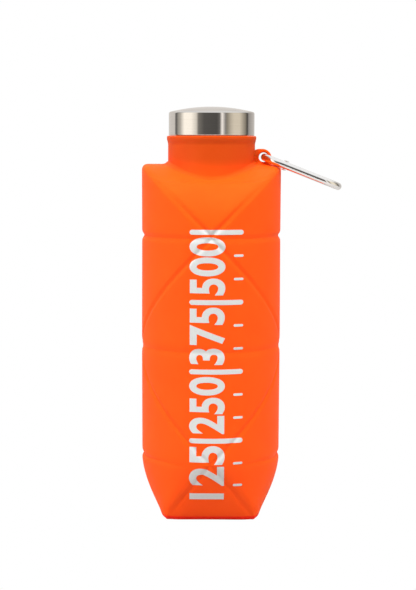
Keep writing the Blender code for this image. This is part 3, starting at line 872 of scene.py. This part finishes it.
def make_print():
    """The marks wrapped on the front as thin solids, in one piece for each section that folds."""
    marks = volume_marks()
    for number, radius_at, low, high, body, joint in SECTIONS:
        verts, faces = [], []
        for mark in marks:
            bm = cut_fine(mark.copy())
            kept = [f for f in bm.faces if low < f.calc_center_median().y < high]
            if not kept:
                bm.free()
                continue
            bmesh.ops.delete(bm, geom=[f for f in bm.faces if f not in set(kept)], context="FACES")
            flat = np.array([v.co[:] for v in bm.verts])
            bm.verts.index_update()
            count = len(flat)
            start = len(verts)
            z = np.clip(flat[:, 1], low + SEAM_GAP, high - SEAM_GAP)
            verts += front_point(radius_at, flat[:, 0], z, PRINT_PROUD).tolist()
            verts += front_point(radius_at, flat[:, 0], z, -PRINT_SUNK).tolist()
            for face in bm.faces:
                corners = [start + v.index for v in face.verts]
                faces.append(corners)
                faces.append([count + i for i in reversed(corners)])
            for loop in (loop for face in bm.faces for loop in face.loops):
                if len(loop.edge.link_faces) == 1:
                    a, b = start + loop.vert.index, start + loop.link_loop_next.vert.index
                    faces.append([b, a, count + a, count + b])
            bm.free()
        decal = mesh_object("volume_scale_" + number, verts, faces, INK)
        finish_piece(decal, body, "silicone")
        fold_with(decal)


make_print()


# ---- the carabiner
# Its own plane: x from the hanging bend to the far bend, y from the spine to the gate, z through it.
hinge_arm = GATE_PIVOT - SWING_PIVOT
TILT = math.atan2(-hinge_arm.z, hinge_arm.x)
PLANE = Matrix.Translation(SWING_PIVOT) @ Matrix.Rotation(TILT, 4, "Y")
HINGE_X = math.hypot(hinge_arm.x, hinge_arm.z)
BEND = hinge_arm.y
STRAIGHT = 24.0 * MM
WIRE_RADIUS = 2.0 * MM
TONGUE_HALF = 0.7 * MM
TONGUE_REACH = 1.8 * MM
SLOT_HALF = 1.0 * MM
LATCH_X = 33.0 * MM
PIN_RADIUS = 0.55 * MM
GATE_END = 34.5 * MM
BORE_RADIUS = 1.2 * MM
BORE_END = 26.0 * MM
RIVET_RADIUS = 0.65 * MM
SPRING_RADIUS = 0.75 * MM
SPRING_WIRE = 0.2 * MM
SPRING_TURNS = 6
WIRE_SIDES = 40
WIRE_EDGE = 0.45 * MM
GATE_EDGE = 0.35 * MM
PLATE_EDGE = 0.12 * MM
RIVET_PLAY = 0.3 * MM
PIN_PLAY = 0.2 * MM
NOTCH_PLAY = 0.3 * MM
CUT_REACH = 4 * MM


def bent_wire(path):
    """A round wire along a path in the carabiner's plane, with rounded ends, as ring points."""
    path = np.array(path)
    tangent = np.gradient(path, axis=0)
    tangent /= np.linalg.norm(tangent, axis=1)[:, None]
    across = np.stack([-tangent[:, 1], tangent[:, 0]], axis=1)
    turns = azimuths(WIRE_SIDES)
    rings = []

    def add(i, reach, shift):
        centre = path[i] + tangent[i] * shift
        flat = centre + across[i] * (reach * np.cos(turns))[:, None]
        rings.append(np.column_stack([flat, reach * np.sin(turns)]))

    def add_end(i, steps, side):
        for step in steps:
            turn = QUARTER * step / 6
            inward, shift = WIRE_EDGE * (1 - math.sin(turn)), WIRE_EDGE * (1 - math.cos(turn))
            add(i, WIRE_RADIUS - inward, side * shift)

    add_end(0, range(6), 1)
    for i in range(1, len(path) - 1):
        add(i, WIRE_RADIUS, 0)
    add_end(-1, range(6, -1, -1), -1)
    return rings


def flat_arc(centre, start, end, count):
    """Points of a bend of the wire about a place on the plane's x axis, between two angles in degrees."""
    turns = np.radians(np.linspace(start, end, count))
    return [(centre + BEND * math.cos(t), BEND * math.sin(t)) for t in turns]


def plate_mesh(outline):
    """A flat plate as thick as the tongue, with rounded edges."""
    bm = bmesh.new()
    face = bm.faces.new([bm.verts.new((x, y, -TONGUE_HALF)) for x, y in outline])
    raised = bmesh.ops.extrude_face_region(bm, geom=[face])["geom"]
    top = [v for v in raised if isinstance(v, bmesh.types.BMVert)]
    bmesh.ops.translate(bm, verts=top, vec=(0, 0, 2 * TONGUE_HALF))
    bmesh.ops.recalc_face_normals(bm, faces=bm.faces)
    bmesh.ops.bevel(bm, geom=bm.edges[:], offset=PLATE_EDGE, segments=2, profile=0.5, affect="EDGES")
    return object_from(bm, "plate")


def combine(obj, operation, *others):
    """Joins the others to obj or cuts them from it, as plain mesh. The others are used up."""
    joined(obj)
    for other in others:
        modifier = obj.modifiers.new("join", "BOOLEAN")
        modifier.operation = operation
        modifier.solver = "EXACT"
        modifier.object = other
    obj.data = evaluated_mesh(obj)
    obj.modifiers.clear()
    for other in others:
        bpy.data.objects.remove(other)


def peg(start, end, radius):
    """A cylinder between two points of the carabiner's plane, used as a cutter."""
    start, end = Vector(start), Vector(end)
    bm = bmesh.new()
    turn = (end - start).to_track_quat("Z", "Y").to_matrix().to_4x4()
    place = Matrix.Translation((start + end) / 2) @ turn
    size = {"radius1": radius, "radius2": radius, "depth": (end - start).length}
    bmesh.ops.create_cone(bm, cap_ends=True, segments=48, matrix=place, **size)
    return object_from(bm, "peg")


def cross_peg(x, radius):
    """A cutter for a pin's hole, through the wire at a place along the gate's line."""
    return peg((x, BEND, -CUT_REACH), (x, BEND, CUT_REACH), radius)


def block(low, high):
    """A box between two corners, used as a cutter."""
    bm = bmesh.new()
    low, high = Vector(low), Vector(high)
    place = Matrix.Translation((low + high) / 2) @ Matrix.Diagonal((*(high - low), 1))
    bmesh.ops.create_cube(bm, size=1, matrix=place)
    return object_from(bm, "block")


def set_in_plane(obj, name, material, body, *nodes, slot="nickel"):
    """Moves a finished mesh from the carabiner's plane to its place at rest, and hands it to its body."""
    obj.name = name
    obj.data.transform(PLANE)
    obj.data.materials.clear()
    obj.data.materials.append(material)
    obj.data.shade_smooth()
    obj.data.set_sharp_from_angle(angle=math.radians(35))
    finish_piece(obj, body, slot, *nodes)


def gate_rings(profile, count):
    """Rings about the gate's line from a (radius, x) profile."""
    turns = azimuths(count)
    return [
        np.column_stack([np.full(count, x), BEND + radius * np.cos(turns), radius * np.sin(turns)])
        for radius, x in profile
    ]


def make_carabiner_frame():
    """The bent wire, with a tongue for the gate's hinge and a hook for its latch pin."""
    far_bend = BEND + STRAIGHT
    nose_turn = math.degrees(math.acos((GATE_END + 0.7 * MM - far_bend) / BEND))
    path = [(HINGE_X - 3.2 * MM, BEND)]
    path += flat_arc(BEND, 90, 270, 61)[1:]
    path += [(BEND + STRAIGHT * i / 8, -BEND) for i in range(1, 8)]
    path += flat_arc(far_bend, -90, nose_turn, 56)
    wire = grid_object("wire", bent_wire(path), NICKEL, loop=False, caps=True)
    end = HINGE_X + TONGUE_REACH
    back = HINGE_X - 5.0 * MM
    tongue = [
        (back, BEND - 1.4 * MM), (end - 0.5 * MM, BEND - 1.7 * MM), (end, BEND - 1.2 * MM),
        (end, BEND + 1.2 * MM), (end - 0.5 * MM, BEND + 1.7 * MM), (back, BEND + 1.1 * MM),
    ]
    notch = PIN_RADIUS + NOTCH_PLAY
    near, far = LATCH_X - notch, LATCH_X + notch
    tip = near - 0.7 * MM
    inner = BEND - 1.1 * MM
    outer = BEND + 1.6 * MM
    root = GATE_END + 2.4 * MM
    hook = [
        (tip, inner), (near, inner), (near, BEND + notch), (far, BEND + notch), (far, inner),
        (root, inner - 0.6 * MM), (root, outer - 1.2 * MM), (GATE_END, outer), (tip, outer),
    ]
    combine(wire, "UNION", plate_mesh(tongue), plate_mesh(hook))
    combine(wire, "DIFFERENCE", cross_peg(HINGE_X, RIVET_RADIUS + RIVET_PLAY))
    set_in_plane(wire, "carabiner_wire", NICKEL, "carabiner", "carabiner_frame")


def make_gate():
    """A round bar with a domed hinge end, slotted at both ends, with its spring's bore."""
    dome = np.radians(np.linspace(2, 90, 14))
    profile = [(WIRE_RADIUS * math.sin(t), HINGE_X - WIRE_RADIUS * math.cos(t)) for t in dome]
    profile += [(WIRE_RADIUS, HINGE_X + (GATE_END - HINGE_X) * i / 10) for i in range(1, 10)]
    for t in np.radians(np.linspace(0, 90, 7)):
        inward, back = GATE_EDGE * (1 - math.cos(t)), GATE_EDGE * (1 - math.sin(t))
        profile.append((WIRE_RADIUS - inward, GATE_END - back))
    profile.append((0.1 * MM, GATE_END))
    gate = grid_object("gate", gate_rings(profile, WIRE_SIDES), NICKEL, loop=False, caps=True)
    wide = 3 * MM
    slot_end = HINGE_X + TONGUE_REACH + 0.8 * MM
    cutters = [
        block((HINGE_X - wide, BEND - wide, -SLOT_HALF), (slot_end, BEND + wide, SLOT_HALF)),
        block((LATCH_X - 2 * MM, BEND - wide, -SLOT_HALF), (GATE_END + MM, BEND + wide, SLOT_HALF)),
        peg((HINGE_X, BEND, 0), (BORE_END, BEND, 0), BORE_RADIUS),
        cross_peg(HINGE_X, RIVET_RADIUS + RIVET_PLAY),
        cross_peg(LATCH_X, PIN_RADIUS + PIN_PLAY),
    ]
    combine(gate, "DIFFERENCE", *cutters)
    set_in_plane(gate, "carabiner_gate_bar", NICKEL, "gate", "carabiner_gate")


def plane_turned(half, x):
    """A rivet or a pin across the gate's line, from the (radius, height) profile of its upper half."""
    turns = azimuths(36)
    rings = []
    for radius, height in half + [(radius, -height) for radius, height in reversed(half)]:
        flat = [x + radius * np.cos(turns), BEND + radius * np.sin(turns)]
        rings.append(np.column_stack([*flat, np.full(len(turns), height)]))
    return grid_object("turned", rings, NICKEL, loop=False, caps=True)


def make_rivet_and_pin():
    """The hinge rivet with its two domed heads, and the plain pin that drops into the hook."""
    under = WIRE_RADIUS + 0.3 * MM
    head = 1.5 * MM
    height = 0.6 * MM
    dome = [(0.05 * MM, under + height)]
    for t in np.radians(np.linspace(12, 90, 8)):
        dome.append((head * math.sin(t), under + 0.12 * MM + (height - 0.12 * MM) * math.cos(t)))
    dome += [(head, under + 0.06 * MM), (head - 0.06 * MM, under), (RIVET_RADIUS, under)]
    set_in_plane(plane_turned(dome, HINGE_X), "hinge_rivet", NICKEL, "gate", "gate_rivet")
    top = WIRE_RADIUS - 0.1 * MM
    pin = [(0.15 * MM, 0), (0.04 * MM, 0.05 * MM), (0, 0.15 * MM)]
    pin = [(PIN_RADIUS - inward, top - down) for inward, down in pin]
    set_in_plane(plane_turned(pin, LATCH_X), "latch_pin", NICKEL, "gate", "gate_latch_pin")


def make_spring_and_plunger():
    """The plunger inside the gate's hinge end, and the coil behind it."""
    plunger_tip = HINGE_X + TONGUE_REACH + 0.4 * MM
    radius = 0.85 * MM
    tail = plunger_tip + 2.6 * MM
    edge = 0.4 * MM
    profile = [(0.05 * MM, plunger_tip)]
    for t in np.radians(np.linspace(15, 90, 6)):
        profile.append((radius - edge * (1 - math.sin(t)), plunger_tip + edge * (1 - math.cos(t))))
    profile += [(radius, tail - 0.1 * MM), (radius - 0.1 * MM, tail)]
    plunger = grid_object("plunger", gate_rings(profile, 32), SPRING_STEEL, loop=False, caps=True)
    set_in_plane(plunger, "gate_plunger_pin", SPRING_STEEL, "plunger", "gate_plunger", slot="spring_steel")

    start = tail + SPRING_WIRE + 0.3 * MM
    end = BORE_END - SPRING_WIRE - 0.3 * MM
    count = SPRING_TURNS * 28
    around = azimuths(12)
    rings = []
    for i in range(count + 1):
        turn = 2 * math.pi * SPRING_TURNS * i / count
        reach = SPRING_RADIUS + SPRING_WIRE * np.cos(around)
        x = start + (end - start) * i / count + SPRING_WIRE * np.sin(around)
        rings.append(np.column_stack([x, BEND + reach * math.cos(turn), reach * math.sin(turn)]))
    coil = grid_object("coil", rings, SPRING_STEEL, loop=False, caps=True)
    set_in_plane(coil, "gate_coil_spring", SPRING_STEEL, "gate", "gate_spring", slot="spring_steel")
    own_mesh(coil)


make_carabiner_frame()
make_gate()
make_rivet_and_pin()
make_spring_and_plunger()


# ---- floor, light and camera
FLOOR_RADIUS = 0.55
FLOOR_DROP = 0.2 * MM


def make_floor():
    """A disc that the camera sees as plain white, and that lights the object from below as a pale grey."""
    material, tree, shader = new_material("white_floor")
    feed(tree, shader, {"Base Color": (0.45, 0.44, 0.43, 1), "Roughness": 1.0, "Specular IOR Level": 0.0})
    glow = add_node(tree, "ShaderNodeEmission", {"Color": (1, 1, 1, 1), "Strength": 1.0})
    surface = tree.nodes["Material Output"].inputs["Surface"]
    white_to_camera(tree, shader.outputs["BSDF"], glow.outputs["Emission"], surface)
    bm = bmesh.new()
    bmesh.ops.create_circle(bm, cap_ends=True, segments=96, radius=FLOOR_RADIUS)
    floor = object_from(bm, "floor")
    floor.data.materials.append(material)
    floor.location.z = -FLOOR_DROP


# Brightness of the studio round the object by azimuth: 0 is the camera's side, positive is to its right.
WARM_LEFT = (1.0, 0.94, 0.84)
WARM_RIGHT = (1.0, 0.90, 0.73)
NEUTRAL = (1.0, 0.95, 0.90)
STUDIO = [
    (-180, 0.80, NEUTRAL),
    (-118, 0.86, NEUTRAL),
    (-112, 0.15, NEUTRAL),
    (-107, 0.22, NEUTRAL),
    (-101, 0.48, WARM_LEFT),
    (-93, 0.64, WARM_LEFT),
    (-78, 1.52, WARM_LEFT),
    (-57, 1.50, WARM_LEFT),
    (-41, 0.95, WARM_LEFT),
    (-36, 0.27, WARM_LEFT),
    (-20, 0.13, NEUTRAL),
    (14, 0.11, NEUTRAL),
    (22, 0.20, NEUTRAL),
    (28, 1.40, NEUTRAL),
    (32, 0.90, NEUTRAL),
    (37, 0.33, NEUTRAL),
    (42, 0.38, WARM_RIGHT),
    (53, 0.76, WARM_RIGHT),
    (62, 0.96, WARM_RIGHT),
    (80, 0.96, WARM_RIGHT),
    (94, 0.56, WARM_RIGHT),
    (104, 0.33, WARM_RIGHT),
    (111, 0.06, NEUTRAL),
    (119, 0.46, NEUTRAL),
    (134, 0.60, NEUTRAL),
    (180, 0.80, NEUTRAL),
]
# The brightness overhead, and the heights on a unit sphere between which the sides blend into it.
OVERHEAD = 1.0
SIDES_END = 0.36
OVERHEAD_START = 0.66


def make_world():
    """Soft boxes at the sides, a dark camera side and a large light overhead; white to the camera."""
    world = bpy.data.worlds.new("studio")
    scene.world = world
    world.use_nodes = True
    tree = world.node_tree
    x, y, z = add_node(tree, "ShaderNodeSeparateXYZ", {"Vector": coordinates(tree, "Generated")}).outputs
    azimuth = math_node(tree, "ARCTAN2", x, math_node(tree, "MULTIPLY", y, -1.0))
    share = math_node(tree, "MULTIPLY_ADD", azimuth, 1 / (2 * math.pi), 0.5)
    brightest = max(level for _, level, _ in STUDIO)
    stops = [((turn + 180) / 360, [level / brightest * c for c in tint]) for turn, level, tint in STUDIO]
    blend = add_node(tree, "ShaderNodeMix", {
        "Factor": rise(tree, z, SIDES_END, OVERHEAD_START),
        "A": ramp(tree, share, stops),
        "B": (OVERHEAD / brightest,) * 3 + (1,),
    }, data_type="RGBA")
    light = feed(tree, tree.nodes["Background"], {"Color": blend.outputs["Result"], "Strength": brightest})
    white = add_node(tree, "ShaderNodeBackground", {"Color": (1, 1, 1, 1), "Strength": 1.0})
    surface = tree.nodes["World Output"].inputs["Surface"]
    white_to_camera(tree, light.outputs["Background"], white.outputs["Background"], surface)


LIGHT_TARGET = Vector((0, 0, 0.12))


def area_light(name, place, size, power):
    """A soft light aimed at the middle of the bottle, left out of reflections and the picture."""
    data = bpy.data.lights.new(name, "AREA")
    data.shape = "RECTANGLE"
    data.size, data.size_y = size
    data.energy = power
    light = linked(name, data)
    light.location = place
    light.rotation_euler = (LIGHT_TARGET - Vector(place)).to_track_quat("-Z", "Y").to_euler()
    light.visible_glossy = False
    light.visible_camera = False


make_floor()
make_world()
area_light("overhead_softbox", (0.0, -0.48, 1.10), (0.8, 0.6), 16.8)
area_light("left_softbox", (-1.0, 0.05, 0.25), (0.5, 0.7), 3.6)
area_light("right_softbox", (1.0, 0.05, 0.25), (0.5, 0.7), 2.2)

# The view: the level distance from the axis, the point looked at, and the focal length in pixels.
PHOTO_HEIGHT = 590
VIEW_DISTANCE = 0.82
VIEW_PITCH = math.radians(5.9)
VIEW_ROLL = math.radians(0.2)
VIEW_CENTRE = Vector((-1.65 * MM, 0, 120.2 * MM))
FOCAL_PIXELS = 1498.85

camera_data = bpy.data.cameras.new("camera")
camera = bpy.data.objects.new("camera", camera_data)
scene.collection.objects.link(camera)
scene.camera = camera
camera_data.sensor_width = 36
camera_data.lens = FOCAL_PIXELS / PHOTO_HEIGHT * camera_data.sensor_width
eye = VIEW_CENTRE + Vector((0, -VIEW_DISTANCE, VIEW_DISTANCE * math.tan(VIEW_PITCH)))
tilt = Matrix.Rotation(math.pi / 2 - VIEW_PITCH, 4, "X") @ Matrix.Rotation(VIEW_ROLL, 4, "Z")
camera.matrix_world = Matrix.Translation(eye) @ tilt
scene.view_settings.view_transform = "Standard"

bpy.context.view_layer.update()
